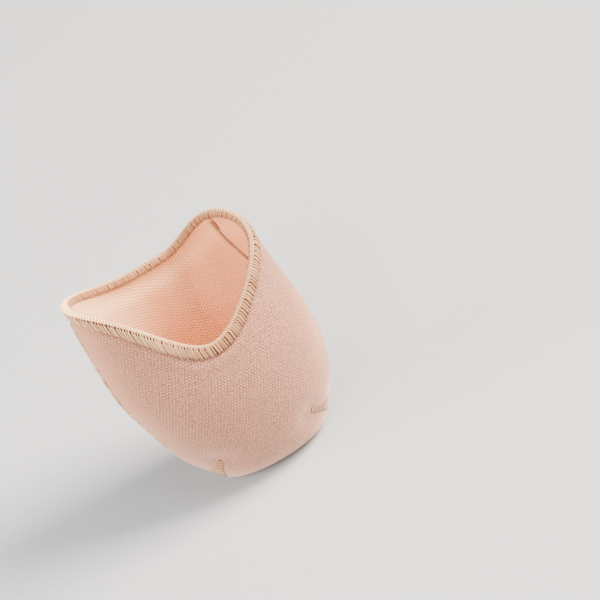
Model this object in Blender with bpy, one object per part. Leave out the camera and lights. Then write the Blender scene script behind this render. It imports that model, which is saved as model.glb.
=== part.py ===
"""Gel toe pad: a dancer's padded toe pouch, standing on its toe end with the mouth up.

Two knit panels make the pouch. Each is backed by a gel lining, and an overlocked seam joins
them across the toe and up both sides. Two darts round off the toe's corners, and a thread
edging wraps the mouth, which dips at the front and back and rises to an ear on each side.

Metres, +Z up. +X is the wearer's side with the rounder ear, and -Y is the front of the pad.
A place on the pouch is a turn and a level. The turn is the angle round the Z axis, 0 at the
front and a quarter turn at +X. The level counts the rows of SECTIONS, 0 at the toe's centre.
"""

import math
from collections import namedtuple

import bpy
import numpy as np
from mathutils import Matrix, Vector

# Driving dimensions of the pouch
EAR_HEIGHT = 0.095
PAD_WIDTH = 0.074
FRONT_DEPTH = 0.0247
BACK_DEPTH = 0.0270

# Walls, seams and the clearances between pieces
KNIT_WALL = 0.0010
GEL_WALL = 0.0018
GEL_EDGE_WALL = 0.0006
GEL_TAPER = 0.0070
LAYER_GAP = 0.0003
SEAM_WIDTH = 0.0042
SEAM_PROUD = 0.0005
SEAM_GAP = 0.0003
RIM_BAND = 0.0030
RIM_WALL = 0.0006
RIM_CROWN = 0.0007
RIM_GAP = 0.0003

# The darts, and the dent in the padding round each one
DART_ROOT_WIDTH = 0.0046
DART_TIP_WIDTH = 0.0012
DART_WALL = 0.0007
DART_GAP = 0.0003
DENT_DEPTH = 0.0016
DENT_REACH = 0.0075

# Sections of the pouch from the toe's centre to the ears. Rise is a share of EAR_HEIGHT,
# width and shift of half of PAD_WIDTH, and front and back of the two depths. A power of 2 is
# an ellipse, and a higher one is squarer.
Section = namedtuple("Section", "rise width front back power shift")
SECTIONS = (
    Section(rise=0.000, width=0.00, front=0.00, back=0.00, power=2.2, shift=0.27),
    Section(rise=0.000, width=0.40, front=0.27, back=0.36, power=2.2, shift=0.27),
    Section(rise=0.030, width=0.58, front=0.46, back=0.52, power=2.2, shift=0.26),
    Section(rise=0.100, width=0.72, front=0.69, back=0.68, power=2.2, shift=0.24),
    Section(rise=0.220, width=0.85, front=0.86, back=0.86, power=2.2, shift=0.22),
    Section(rise=0.380, width=0.95, front=0.97, back=0.97, power=2.2, shift=0.18),
    Section(rise=0.560, width=1.00, front=1.00, back=1.00, power=2.2, shift=0.11),
    Section(rise=0.780, width=0.97, front=0.91, back=0.97, power=2.1, shift=0.04),
    Section(rise=1.040, width=0.92, front=0.80, back=0.82, power=2.1, shift=-0.03),
)
TABLE = np.array(SECTIONS)
FLOOR_LEVEL = 1
SIDE_LEVEL = 4

# The mouth. Each ear has its turn in degrees and its height, and each dip its height, as
# shares of EAR_HEIGHT. A higher sharpness makes the dip wider and the ears narrower.
Ear = namedtuple("Ear", "turn rise")
Dip = namedtuple("Dip", "rise sharpness")
LEFT_EAR = Ear(turn=83, rise=1.015)
RIGHT_EAR = Ear(turn=114, rise=0.980)
FRONT_DIP = Dip(rise=0.722, sharpness=0.98)
BACK_DIP = Dip(rise=0.845, sharpness=1.50)

# The side seams run at a quarter turn, and drift back to a turn in degrees between two rises
Drift = namedtuple("Drift", "turn start end")
LEFT_DRIFT = Drift(turn=95, start=0.38, end=0.95)
RIGHT_DRIFT = Drift(turn=121, start=0.38, end=0.95)

# Each dart runs from the seam at the toe's corner to a tip on the front
Dart = namedtuple("Dart", "name side root_turn root_level tip_turn tip_level")
DARTS = (
    Dart("dart_left", side=-1, root_turn=81, root_level=2.50, tip_turn=54, tip_level=3.8),
    Dart("dart_right", side=1, root_turn=81, root_level=2.50, tip_turn=44, tip_level=4.1),
)

# Facets. A panel's columns crowd towards its seams by COLUMN_CROWDING.
TOE_RINGS = 8
SIDE_RINGS = 8
FRONT_COLUMNS = 34
BACK_COLUMNS = 24
COLUMN_CROWDING = 0.25
DART_STEPS = 7
SHARP_ANGLE = math.radians(40)

KNIT_COLOUR = (0.72, 0.50, 0.42, 1.0)
GEL_COLOUR = (0.80, 0.45, 0.33, 1.0)
THREAD_COLOUR = (0.76, 0.54, 0.38, 1.0)


def smooth_step(share):
    share = np.clip(share, 0.0, 1.0)
    return share * share * (3 - 2 * share)


def section_at(level):
    """A smooth curve through the rows of SECTIONS, one value for each column."""
    level = np.asarray(level, float)
    last = len(TABLE) - 1
    row = np.clip(np.floor(level).astype(int), 0, last - 1)
    share = (level - row)[..., None]
    start, end = TABLE[row], TABLE[row + 1]
    before = np.where((row > 0)[..., None], TABLE[np.maximum(row - 1, 0)], 2 * start - end)
    after = np.where((row < last - 1)[..., None], TABLE[np.minimum(row + 2, last)], 2 * end - start)
    slope = (end - before) / 2
    next_slope = (after - start) / 2
    bend = 3 * (end - start) - 2 * slope - next_slope
    twist = 2 * (start - end) + slope + next_slope
    section = start + share * (slope + share * (bend + share * twist))
    section[..., 0] = np.maximum(section[..., 0], 0.0)
    return section


def level_at_rise(rise):
    levels = np.linspace(FLOOR_LEVEL, len(TABLE) - 1, 240)
    return np.interp(rise, section_at(levels)[:, 0], levels)


def mouth_rise(turn):
    """Height of the mouth's edge, as a share of EAR_HEIGHT."""
    turn = (np.asarray(turn, float) + math.pi) % math.tau - math.pi
    ear_turn = np.radians(np.where(turn > 0, RIGHT_EAR.turn, LEFT_EAR.turn))
    ear_rise = np.where(turn > 0, RIGHT_EAR.rise, LEFT_EAR.rise)
    away = np.abs(turn)
    at_front = away < ear_turn
    share = np.where(at_front, away / ear_turn, (math.pi - away) / (math.pi - ear_turn))
    dip_rise = np.where(at_front, FRONT_DIP.rise, BACK_DIP.rise)
    sharpness = np.where(at_front, FRONT_DIP.sharpness, BACK_DIP.sharpness)
    return dip_rise + (ear_rise - dip_rise) * ((1 - np.cos(math.pi * share)) / 2) ** sharpness


def plain_point(turn, level):
    """A point of the pouch's outside, before the dents at the darts."""
    rise, width, front, back, power, shift = np.moveaxis(section_at(level), -1, 0)
    half_width = np.maximum(PAD_WIDTH / 2 * width, 1e-9)
    forward = np.cos(turn)
    depth = np.maximum(np.where(forward > 0, FRONT_DEPTH * front, BACK_DEPTH * back), 1e-9)
    sideways = np.abs(np.sin(turn)) / half_width
    reach = (sideways**power + (np.abs(forward) / depth) ** power) ** (-1 / power)
    x = reach * np.sin(turn) + PAD_WIDTH / 2 * shift
    return np.stack(np.broadcast_arrays(x, -reach * forward, EAR_HEIGHT * rise), -1)


def dart_line(dart, share):
    """(turn, level) at a share of the dart's length, from its root to its tip."""
    turn = dart.root_turn + (dart.tip_turn - dart.root_turn) * share
    level = dart.root_level + (dart.tip_level - dart.root_level) * share
    return dart.side * np.radians(turn), level


def dent_at(points):
    """How far the darts draw the padding in."""
    deepest = np.zeros(points.shape[:-1])
    for dart in DARTS:
        root, tip = (plain_point(*dart_line(dart, share)) for share in (0.0, 1.0))
        along = tip - root
        share = np.clip((points - root) @ along / (along @ along), 0.0, 1.0)
        away = np.linalg.norm(points - (root + share[..., None] * along), axis=-1)
        taper = smooth_step(points[..., 2] / (EAR_HEIGHT * SECTIONS[3].rise))
        deepest = np.maximum(deepest, DENT_DEPTH * np.exp(-((away / DENT_REACH) ** 2)) * taper)
    return deepest


def normal_of(surface, turn, level):
    """Outward normal of a surface given as a function of turn and level."""
    nudge = 1e-4
    level = np.maximum(level, 2 * nudge)
    across = surface(turn + nudge, level) - surface(turn - nudge, level)
    up = surface(turn, level + nudge) - surface(turn, level - nudge)
    normal = np.cross(across, up)
    return normal / np.linalg.norm(normal, axis=-1, keepdims=True)


def pad_point(turn, level, depth=0.0):
    """A point of the pouch, at a depth inside its outer skin."""
    turn, level = np.broadcast_arrays(np.asarray(turn, float), np.asarray(level, float))
    skin = plain_point(turn, level)
    normal = normal_of(plain_point, turn, level)
    sunk = np.asarray(depth) + dent_at(skin)
    return skin - normal * sunk[..., None]


def seam_turn(level, side):
    """How far round from the front the seam of a side has come, -1 for left and 1 for right."""
    drift = LEFT_DRIFT if side < 0 else RIGHT_DRIFT
    rise = section_at(level)[..., 0]
    share = smooth_step((rise - drift.start) / (drift.end - drift.start))
    return math.pi / 2 + (math.radians(drift.turn) - math.pi / 2) * share


def slot_turn(level, half_slot, at_front):
    """The turn that half a slot takes up beside the seam. On the toe the slot is straight."""
    _, width, front, back, power, _ = np.moveaxis(section_at(level), -1, 0)
    depth = np.maximum(FRONT_DEPTH * front if at_front else BACK_DEPTH * back, 1e-9)
    room = np.clip(1 - (half_slot / depth) ** power, 0.0, 1.0)
    return math.pi / 2 - np.arctan2(PAD_WIDTH / 2 * width * room ** (1 / power), half_slot)


def beside_seam(side, offset):
    """The line at an offset behind a side's seam, as a function that gives its turn at a level."""

    def turn_at(level):
        return side * (seam_turn(level, side) + np.sign(offset) * slot_turn(level, abs(offset), offset < 0))

    return turn_at


def edge_level(turn_at):
    """The level where a line, given by its turn at a level, meets the mouth's edge."""
    level = len(TABLE) - 1.5
    for _ in range(8):
        level = level_at_rise(mouth_rise(turn_at(level)))
    return level


def edge_frame(turn):
    """The mouth's edge at a turn: its level, its point, the way up out of the wall and the
    outward normal, and how far the level falls for each metre down the wall."""
    nudge = 1e-3
    level = level_at_rise(mouth_rise(turn))
    point = pad_point(turn, level)
    before = pad_point(turn - nudge, level_at_rise(mouth_rise(turn - nudge)))
    after = pad_point(turn + nudge, level_at_rise(mouth_rise(turn + nudge)))
    normal = normal_of(plain_point, turn, level)
    up = np.cross(normal, after - before)
    up /= np.linalg.norm(up, axis=-1, keepdims=True)
    climb = (point - pad_point(turn, level - nudge)) / nudge
    return level, point, up, normal, 1.0 / (climb * up).sum(axis=-1)


def ring_levels(turn_at):
    """The levels of the rings along a line, from the flat of the toe to the mouth's edge."""
    top = edge_level(turn_at)
    fall = edge_frame(turn_at(top))[-1]
    bound = top - fall * (RIM_BAND + 2 * RIM_GAP)
    toe = np.linspace(FLOOR_LEVEL, SIDE_LEVEL, TOE_RINGS + 1)
    side = np.linspace(0.0, 1.0, SIDE_RINGS + 1)[1:]
    rings = [np.full_like(top, level) for level in toe]
    rings += [SIDE_LEVEL + (bound - SIDE_LEVEL) * share for share in side]
    return rings + [top]


def panel_lines(at_front, half_slot):
    """A panel's columns as (turns, levels) for each ring, seam to seam.

    The columns of the knit and of its lining agree. The lining, which reaches closer to the seam,
    has one more on each side.
    """
    knit_slot = SEAM_WIDTH / 2 + SEAM_GAP
    middle, columns = (0.0, FRONT_COLUMNS) if at_front else (math.pi, BACK_COLUMNS)
    even = np.linspace(-1.0, 1.0, columns + 1)
    place = even + COLUMN_CROWDING * np.sin(math.pi * even) / math.pi
    place = place if half_slot >= knit_slot else np.concatenate(([-1.0], place, [1.0]))
    slots = np.full_like(place, knit_slot)
    slots[[0, -1]] = half_slot

    def turn_at(level):
        left, right = (seam_turn(level, side) for side in (-1, 1))
        seam = np.where(place < 0, left, right) if at_front else math.pi - np.where(place < 0, right, left)
        return middle + place * (seam - slot_turn(level, slots, at_front))

    return [(turn_at(levels), levels) for levels in ring_levels(turn_at)]


def material(name, colour, roughness):
    made = bpy.data.materials.new(name)
    made.use_nodes = True
    shader = made.node_tree.nodes["Principled BSDF"]
    shader.inputs["Base Color"].default_value = colour
    shader.inputs["Roughness"].default_value = roughness
    shader.inputs["Metallic"].default_value = 0.0
    made.diffuse_color = colour
    return made


def add_object(name, points, faces, finish):
    mesh = bpy.data.meshes.new(name)
    mesh.from_pydata([tuple(p) for p in points], [], faces)
    mesh.materials.append(finish)
    mesh.shade_smooth()
    mesh.set_sharp_from_angle(angle=SHARP_ANGLE)
    mesh.update()
    made = bpy.data.objects.new(name, mesh)
    bpy.context.scene.collection.objects.link(made)
    return made


def add_wall(name, at_front, half_slot, depth, wall_at, finish):
    """A closed wall over a panel. Its facets fan out from a pole beside the seam on the toe.

    depth is how far its outer side lies inside the pouch's skin, and wall_at gives its wall from
    how far a point lies below the mouth's edge.
    """
    middle, toe_depth = 0.0, FRONT_DEPTH * SECTIONS[FLOOR_LEVEL].front
    if not at_front:
        middle, toe_depth = math.pi, BACK_DEPTH * SECTIONS[FLOOR_LEVEL].back
    pole = half_slot / toe_depth
    lines = panel_lines(at_front, half_slot)
    columns = len(lines[0][0]) - 1
    top_turns, top_levels = lines[-1]
    falls = edge_frame(top_turns)[-1]

    outer = [pad_point(middle, pole, depth)]
    inner = [pad_point(middle, pole, depth + wall_at(EAR_HEIGHT))]
    for turns, levels in lines:
        below = (top_levels - levels) / falls
        outer.extend(pad_point(turns, levels, depth))
        inner.extend(pad_point(turns, levels, depth + wall_at(below)))

    def index(ring, column):
        return 1 + ring * (columns + 1) + column

    last_ring = len(lines) - 1
    skin = [(0, index(0, k + 1), index(0, k)) for k in range(columns)]
    for ring in range(last_ring):
        for k in range(columns):
            low, high = index(ring, k), index(ring + 1, k)
            skin += [(low, low + 1, high + 1), (low, high + 1, high)]
    border = [0] + [index(ring, columns) for ring in range(last_ring)]
    border += [index(last_ring, k) for k in reversed(range(columns + 1))]
    border += [index(ring, 0) for ring in reversed(range(last_ring))]

    inside = len(outer)
    faces = skin + [tuple(inside + v for v in reversed(face)) for face in skin]
    for here, there in zip(border, border[1:] + border[:1]):
        faces.append((there, here, inside + here, inside + there))
    return add_object(name, outer + inner, faces, finish)


def knit_panel(name, at_front, finish):
    return add_wall(name, at_front, SEAM_WIDTH / 2 + SEAM_GAP, 0.0, lambda below: KNIT_WALL, finish)


def gel_wall(below):
    """The gel is thin where the edging binds it, and thickens below that."""
    share = smooth_step((below - RIM_BAND - 2 * RIM_GAP) / GEL_TAPER)
    return GEL_EDGE_WALL + (GEL_WALL - GEL_EDGE_WALL) * share


def gel_lining(name, at_front, finish):
    return add_wall(name, at_front, SEAM_GAP, KNIT_WALL + LAYER_GAP, gel_wall, finish)


def add_loft(name, loops, finish, ring=False):
    """A solid through closed loops of the same count, with flat ends or joined into a ring."""
    count = len(loops[0])
    points = [p for loop in loops for p in loop]
    faces = []
    for k in range(len(loops) if ring else len(loops) - 1):
        here, there = k * count, (k + 1) % len(loops) * count
        for j in range(count):
            after = (j + 1) % count
            faces.append((here + j, here + after, there + after, there + j))
    if not ring:
        faces.append(tuple(reversed(range(count))))
        faces.append(tuple(range(len(points) - count, len(points))))
    return add_object(name, points, faces, finish)


def rim_loop(turn):
    """The edging's cross-section: a crown over the edge and a leg down each side of the wall."""
    level, edge, up, normal, fall = edge_frame(turn)

    def beside(down, out):
        return pad_point(turn, level - down * fall, -out)

    def above(height, out):
        return edge + up * height + normal * out

    wall = KNIT_WALL + LAYER_GAP + GEL_EDGE_WALL
    inner = wall + RIM_GAP
    corner = 0.7  # share of the wall or the crown that is left where a corner is rounded
    return [
        beside(RIM_BAND, RIM_GAP),
        beside(RIM_BAND, RIM_GAP + RIM_WALL * corner),
        beside(RIM_BAND / 2, RIM_GAP + RIM_WALL),
        above(0.0, RIM_GAP + RIM_WALL),
        above(RIM_GAP + RIM_CROWN * corner, RIM_GAP),
        above(RIM_GAP + RIM_CROWN, -wall / 2),
        above(RIM_GAP + RIM_CROWN * corner, -inner),
        above(0.0, -inner - RIM_WALL),
        beside(RIM_BAND / 2, -inner - RIM_WALL),
        beside(RIM_BAND, -inner - RIM_WALL * corner),
        beside(RIM_BAND, -inner),
        above(RIM_GAP, -inner),
        above(RIM_GAP, RIM_GAP),
    ]


def rim_overlock(finish):
    slot = SEAM_WIDTH / 2 + SEAM_GAP
    seams = [beside_seam(side, 0.0) for side in (-1, 1)]
    turns = [line(edge_level(line)) for line in seams]
    for at_front in (True, False):
        turns.extend(panel_lines(at_front, slot)[-1][0])
    around = sorted(np.mod(turns, math.tau), reverse=True)
    return add_loft("rim_overlock", [rim_loop(turn) for turn in around], finish, ring=True)


def seam_proud(ring):
    """The seam stands proud of the knit, but is flush on the floor and under the edging."""
    flush = (0, TOE_RINGS + SIDE_RINGS, TOE_RINGS + SIDE_RINGS + 1)
    return 0.0 if ring in flush else SEAM_PROUD


def seam_profile(proud):
    """(offset behind the seam's middle, depth) round the seam's cross-section."""
    half = SEAM_WIDTH / 2
    shoulder = 0.4 * proud
    return [
        (-half, KNIT_WALL),
        (-half, -shoulder),
        (-half / 2, -proud),
        (0.0, -proud),
        (half / 2, -proud),
        (half, -shoulder),
        (half, KNIT_WALL),
        (half / 2, KNIT_WALL),
        (0.0, KNIT_WALL),
        (-half / 2, KNIT_WALL),
    ]


def side_seam_loops(side):
    """Cross-sections of the seam on one side, from the toe to the mouth."""
    loops = []
    for ring in range(TOE_RINGS + SIDE_RINGS + 2):
        loop = []
        for offset, depth in seam_profile(seam_proud(ring)):
            line = beside_seam(side, offset)
            level = ring_levels(line)[ring]
            loop.append(pad_point(line(level), level, depth))
        loops.append(loop)
    return loops


def toe_seam_loop(share):
    """A cross-section where the seam crosses the flat of the toe, at a share of its half width."""
    toe = SECTIONS[FLOOR_LEVEL]
    x = PAD_WIDTH / 2 * (toe.shift + share * toe.width)
    return [np.array((x, offset, depth)) for offset, depth in seam_profile(0.0)]


def toe_seam(finish):
    """The seam from the mouth down the left side, across the toe and up the right side."""
    toe = [toe_seam_loop(share) for share in np.linspace(-0.6, 0.6, 4)]
    return add_loft("toe_seam", side_seam_loops(-1)[::-1] + toe + side_seam_loops(1), finish)


def across_dart(dart, share):
    """A step of one metre across a dart, as turn and level."""
    nudge = 1e-4
    turn, level = dart_line(dart, share)
    by_turn = (plain_point(turn + nudge, level) - plain_point(turn - nudge, level)) / (2 * nudge)
    by_level = (plain_point(turn, level + nudge) - plain_point(turn, level - nudge)) / (2 * nudge)
    ahead_turn, ahead_level = dart_line(dart, share + 0.01)
    along = by_turn * (ahead_turn - turn) + by_level * (ahead_level - level)
    across = np.cross(along, np.cross(by_turn, by_level))
    across /= np.linalg.norm(across)
    return np.linalg.lstsq(np.stack([by_turn, by_level], -1), across, rcond=None)[0]


def dart_thread(dart, finish):
    """The thread that draws a dart together, lying in the dent that it makes."""
    loops = []
    top = DART_GAP + DART_WALL
    shoulder = DART_GAP + DART_WALL / 2
    for share in np.linspace(0.0, 1.0, DART_STEPS):
        turn, level = dart_line(dart, share)
        turn_step, level_step = across_dart(dart, share)
        half = (DART_ROOT_WIDTH + (DART_TIP_WIDTH - DART_ROOT_WIDTH) * share) / 2
        profile = (
            (-half, DART_GAP),
            (-half, shoulder),
            (-half / 2, top),
            (half / 2, top),
            (half, shoulder),
            (half, DART_GAP),
            (0.0, DART_GAP),
        )
        loops.append([pad_point(turn + turn_step * x, level + level_step * x, -out) for x, out in profile])
    return add_loft(dart.name, loops, finish)


def centre_on_floor():
    """Puts the origin at the middle of the bounding box's underside."""
    meshes = [part.data for part in bpy.data.objects]
    points = np.array([vertex.co for mesh in meshes for vertex in mesh.vertices])
    low, high = points.min(axis=0), points.max(axis=0)
    middle = Vector(((low[0] + high[0]) / 2, (low[1] + high[1]) / 2, low[2]))
    for mesh in meshes:
        mesh.transform(Matrix.Translation(-middle))


def main():
    for old in list(bpy.data.objects):
        bpy.data.objects.remove(old, do_unlink=True)
    knit = material("knit", KNIT_COLOUR, 0.85)
    gel = material("gel", GEL_COLOUR, 0.6)
    thread = material("thread", THREAD_COLOUR, 0.7)

    knit_panel("front_panel", True, knit)
    knit_panel("back_panel", False, knit)
    gel_lining("front_lining", True, gel)
    gel_lining("back_lining", False, gel)
    rim_overlock(thread)
    toe_seam(thread)
    for dart in DARTS:
        dart_thread(dart, thread)
    centre_on_floor()


main()
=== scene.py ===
import math
from collections import namedtuple

import bpy
import numpy as np
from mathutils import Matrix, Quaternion, Vector


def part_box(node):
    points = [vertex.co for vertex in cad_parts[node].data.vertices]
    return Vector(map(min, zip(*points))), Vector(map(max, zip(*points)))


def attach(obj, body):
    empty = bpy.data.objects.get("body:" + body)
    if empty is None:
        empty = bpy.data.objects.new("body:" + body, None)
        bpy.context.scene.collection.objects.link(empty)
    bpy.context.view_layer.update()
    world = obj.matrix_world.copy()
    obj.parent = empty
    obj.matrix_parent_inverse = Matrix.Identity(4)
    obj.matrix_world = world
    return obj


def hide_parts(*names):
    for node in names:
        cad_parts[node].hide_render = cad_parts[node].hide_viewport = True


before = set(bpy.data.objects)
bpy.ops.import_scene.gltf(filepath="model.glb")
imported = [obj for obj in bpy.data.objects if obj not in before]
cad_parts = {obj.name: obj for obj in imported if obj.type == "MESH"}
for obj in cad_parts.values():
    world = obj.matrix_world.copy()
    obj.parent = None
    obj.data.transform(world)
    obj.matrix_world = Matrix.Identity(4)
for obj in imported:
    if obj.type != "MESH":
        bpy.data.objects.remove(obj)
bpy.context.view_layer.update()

# The knit panels. The outside of the pouch is two pieces of fine interlock knit with a thin
# backing, cut to shape and pulled over the toe. Each is one smooth stretched skin, drawn in
# where the overlock thread binds its edges and where the two darts gather it.
EAR_HEIGHT = 0.095
PAD_WIDTH = 0.074
FRONT_DEPTH = 0.0247
BACK_DEPTH = 0.0270
KNIT_WALL = 0.0010
LAYER_GAP = 0.0003
RIM_BAND = 0.0030

# The form of the pouch, by the same shares as the solids have: rises are shares of EAR_HEIGHT,
# widths and shifts of half of PAD_WIDTH, and fronts and backs of the two depths
Section = namedtuple("Section", "rise width front back power shift")
SECTIONS = (
    Section(rise=0.000, width=0.00, front=0.00, back=0.00, power=2.2, shift=0.27),
    Section(rise=0.000, width=0.40, front=0.27, back=0.36, power=2.2, shift=0.27),
    Section(rise=0.030, width=0.58, front=0.46, back=0.52, power=2.2, shift=0.26),
    Section(rise=0.100, width=0.72, front=0.69, back=0.68, power=2.2, shift=0.24),
    Section(rise=0.220, width=0.85, front=0.86, back=0.86, power=2.2, shift=0.22),
    Section(rise=0.380, width=0.95, front=0.97, back=0.97, power=2.2, shift=0.18),
    Section(rise=0.560, width=1.00, front=1.00, back=1.00, power=2.2, shift=0.11),
    Section(rise=0.780, width=0.97, front=0.91, back=0.97, power=2.1, shift=0.04),
    Section(rise=1.040, width=0.92, front=0.80, back=0.82, power=2.1, shift=-0.03),
)
TABLE = np.array(SECTIONS)
TOP_LEVEL = len(TABLE) - 1
FLOOR_LEVEL = 1
SIDE_LEVEL = 4
TINY = 1e-9

# Turns are degrees round from the middle of the front
Ear = namedtuple("Ear", "turn rise")
Dip = namedtuple("Dip", "rise sharpness")
LEFT_EAR = Ear(turn=83, rise=1.015)
RIGHT_EAR = Ear(turn=114, rise=0.980)
FRONT_DIP = Dip(rise=0.722, sharpness=0.98)
BACK_DIP = Dip(rise=0.845, sharpness=1.50)

# The seams lie at the sides on the toe and drift round to these turns at the mouth
Drift = namedtuple("Drift", "turn start end")
LEFT_DRIFT = Drift(turn=95, start=0.38, end=0.95)
RIGHT_DRIFT = Drift(turn=118, start=0.38, end=0.95)

# Each dart runs from the seam at the toe's corner to a tip on the front
Dart = namedtuple("Dart", "name side root_turn root_level tip_turn tip_level")
DARTS = (
    Dart("dart_left", side=-1, root_turn=81, root_level=2.50, tip_turn=54, tip_level=3.8),
    Dart("dart_right", side=1, root_turn=81, root_level=3.00, tip_turn=43, tip_level=3.8),
)
DART_ROOT_WIDTH = 0.0058
DART_TIP_WIDTH = 0.0012
DENT_DEPTH = 0.0016
DENT_REACH = 0.0075
DENT_FULL_LEVEL = 3


def smooth_step(share):
    share = np.clip(share, 0.0, 1.0)
    return share * share * (3 - 2 * share)


def hump(distance, reach):
    return np.exp(-((distance / reach) ** 2))


def section_at(level):
    """A smooth curve through the rows of SECTIONS."""
    level = np.asarray(level, float)
    row = np.clip(np.floor(level).astype(int), 0, TOP_LEVEL - 1)
    share = (level - row)[..., None]
    start, end = TABLE[row], TABLE[row + 1]
    before = np.where((row > 0)[..., None], TABLE[np.maximum(row - 1, 0)], 2 * start - end)
    after = np.where((row < TOP_LEVEL - 1)[..., None], TABLE[np.minimum(row + 2, TOP_LEVEL)], 2 * end - start)
    slope = (end - before) / 2
    next_slope = (after - start) / 2
    bend = 3 * (end - start) - 2 * slope - next_slope
    twist = 2 * (start - end) + slope + next_slope
    section = start + share * (slope + share * (bend + share * twist))
    section[..., 0] = np.maximum(section[..., 0], 0.0)
    return section


def level_at_rise(rise):
    levels = np.linspace(FLOOR_LEVEL, TOP_LEVEL, 240)
    return np.interp(rise, section_at(levels)[:, 0], levels)


def mouth_rise(turn):
    """Height of the mouth's edge, as a share of EAR_HEIGHT."""
    turn = (np.asarray(turn, float) + math.pi) % math.tau - math.pi
    ear_turn = np.radians(np.where(turn > 0, RIGHT_EAR.turn, LEFT_EAR.turn))
    ear_rise = np.where(turn > 0, RIGHT_EAR.rise, LEFT_EAR.rise)
    away = np.abs(turn)
    at_front = away < ear_turn
    share = np.where(at_front, away / ear_turn, (math.pi - away) / (math.pi - ear_turn))
    dip_rise = np.where(at_front, FRONT_DIP.rise, BACK_DIP.rise)
    sharpness = np.where(at_front, FRONT_DIP.sharpness, BACK_DIP.sharpness)
    return dip_rise + (ear_rise - dip_rise) * ((1 - np.cos(math.pi * share)) / 2) ** sharpness


def plain_point(turn, level):
    """A point of the pouch's outside at a turn round it and a level up it."""
    rise, width, front, back, power, shift = np.moveaxis(section_at(level), -1, 0)
    half_width = np.maximum(PAD_WIDTH / 2 * width, TINY)
    forward = np.cos(turn)
    depth = np.maximum(np.where(forward > 0, FRONT_DEPTH * front, BACK_DEPTH * back), TINY)
    sideways = np.abs(np.sin(turn)) / half_width
    reach = (sideways**power + (np.abs(forward) / depth) ** power) ** (-1 / power)
    x = reach * np.sin(turn) + PAD_WIDTH / 2 * shift
    return np.stack(np.broadcast_arrays(x, -reach * forward, EAR_HEIGHT * rise), -1) - middle_of_box


# The solids' origin is the middle of their box, which is this far from the form's own axis
middle_of_box = np.zeros(3)
turns, levels = np.meshgrid(np.radians(np.arange(-180, 180, 2)), np.linspace(SIDE_LEVEL, TOP_LEVEL, 60))
low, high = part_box("front_panel")
form_front = plain_point(turns, levels)[..., 1].min()
form_right = plain_point(turns, levels)[..., 0].max()
middle_of_box = np.array((form_right - high[0], form_front - low[1], 0.0))


def dart_line(dart, share):
    """(turn, level) at a share of the dart's length, from its root to its tip."""
    turn = dart.root_turn + (dart.tip_turn - dart.root_turn) * share
    level = dart.root_level + (dart.tip_level - dart.root_level) * share
    return dart.side * np.radians(turn), level


def beside_dart(dart, points):
    """Each point's share along a dart and its distance from it."""
    root, tip = (plain_point(*dart_line(dart, share)) for share in (0.0, 1.0))
    along = tip - root
    share = np.clip((points - root) @ along / (along @ along), 0.0, 1.0)
    return share, np.linalg.norm(points - (root + share[..., None] * along), axis=-1)


def dent_at(points):
    """How deep the darts draw the knit in about them, from nothing at the floor."""
    deepest = np.zeros(points.shape[:-1])
    for dart in DARTS:
        _, away = beside_dart(dart, points)
        taper = smooth_step(points[..., 2] / (EAR_HEIGHT * SECTIONS[DENT_FULL_LEVEL].rise))
        deepest = np.maximum(deepest, DENT_DEPTH * hump(away, DENT_REACH) * taper)
    return deepest


def normal_at(turn, level):
    nudge = 1e-4
    level = np.maximum(level, 2 * nudge)
    across = plain_point(turn + nudge, level) - plain_point(turn - nudge, level)
    up = plain_point(turn, level + nudge) - plain_point(turn, level - nudge)
    normal = np.cross(across, up)
    return normal / np.linalg.norm(normal, axis=-1, keepdims=True)


def pad_point(turn, level, depth=0.0):
    """A point of the pouch, at a depth inside its outer skin."""
    turn, level = np.broadcast_arrays(np.asarray(turn, float), np.asarray(level, float))
    skin = plain_point(turn, level)
    sunk = np.asarray(depth) + dent_at(skin)
    return skin - normal_at(turn, level) * sunk[..., None]


def seam_turn(level, side):
    """How far round from the front the seams of sides have come, -1 for left and 1 for right."""
    side = np.asarray(side)
    rise = section_at(level)[..., 0]
    turn, start, end = (np.where(side < 0, left, right) for left, right in zip(LEFT_DRIFT, RIGHT_DRIFT))
    return math.pi / 2 + (np.radians(turn) - math.pi / 2) * smooth_step((rise - start) / (end - start))


def slot_turn(level, half_slot, at_front):
    """The turn that a distance beside the seam takes up."""
    _, width, front, back, power, _ = np.moveaxis(section_at(level), -1, 0)
    depth = np.maximum(np.where(at_front, FRONT_DEPTH * front, BACK_DEPTH * back), TINY)
    room = np.clip(1 - (half_slot / depth) ** power, 0.0, 1.0)
    return math.pi / 2 - np.arctan2(PAD_WIDTH / 2 * width * room ** (1 / power), half_slot)


def edge_level(turn_at):
    """The mouth's level along a line whose turn changes with its level, found in a few rounds."""
    level = TOP_LEVEL - 0.5
    for _ in range(8):
        level = level_at_rise(mouth_rise(turn_at(level)))
    return level


def edge_frame(turn):
    """The mouth's edge at a turn: its level, point, way up out of the wall and outward normal,
    and how far the level falls for each metre down the wall."""
    nudge = 1e-3
    level = level_at_rise(mouth_rise(turn))
    point = pad_point(turn, level)
    before = pad_point(turn - nudge, level_at_rise(mouth_rise(turn - nudge)))
    after = pad_point(turn + nudge, level_at_rise(mouth_rise(turn + nudge)))
    normal = normal_at(turn, level)
    up = np.cross(normal, after - before)
    up /= np.linalg.norm(up, axis=-1, keepdims=True)
    climb = (point - pad_point(turn, level - nudge)) / nudge
    return level, point, up, normal, 1.0 / (climb * up).sum(axis=-1)


# A panel is made of rings from two small ones inside the flat of the toe up to the mouth. Its
# columns crowd towards its seams.
POLE_LEVELS = (0.4, 0.7)
COLUMN_CROWDING = 0.15


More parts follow.
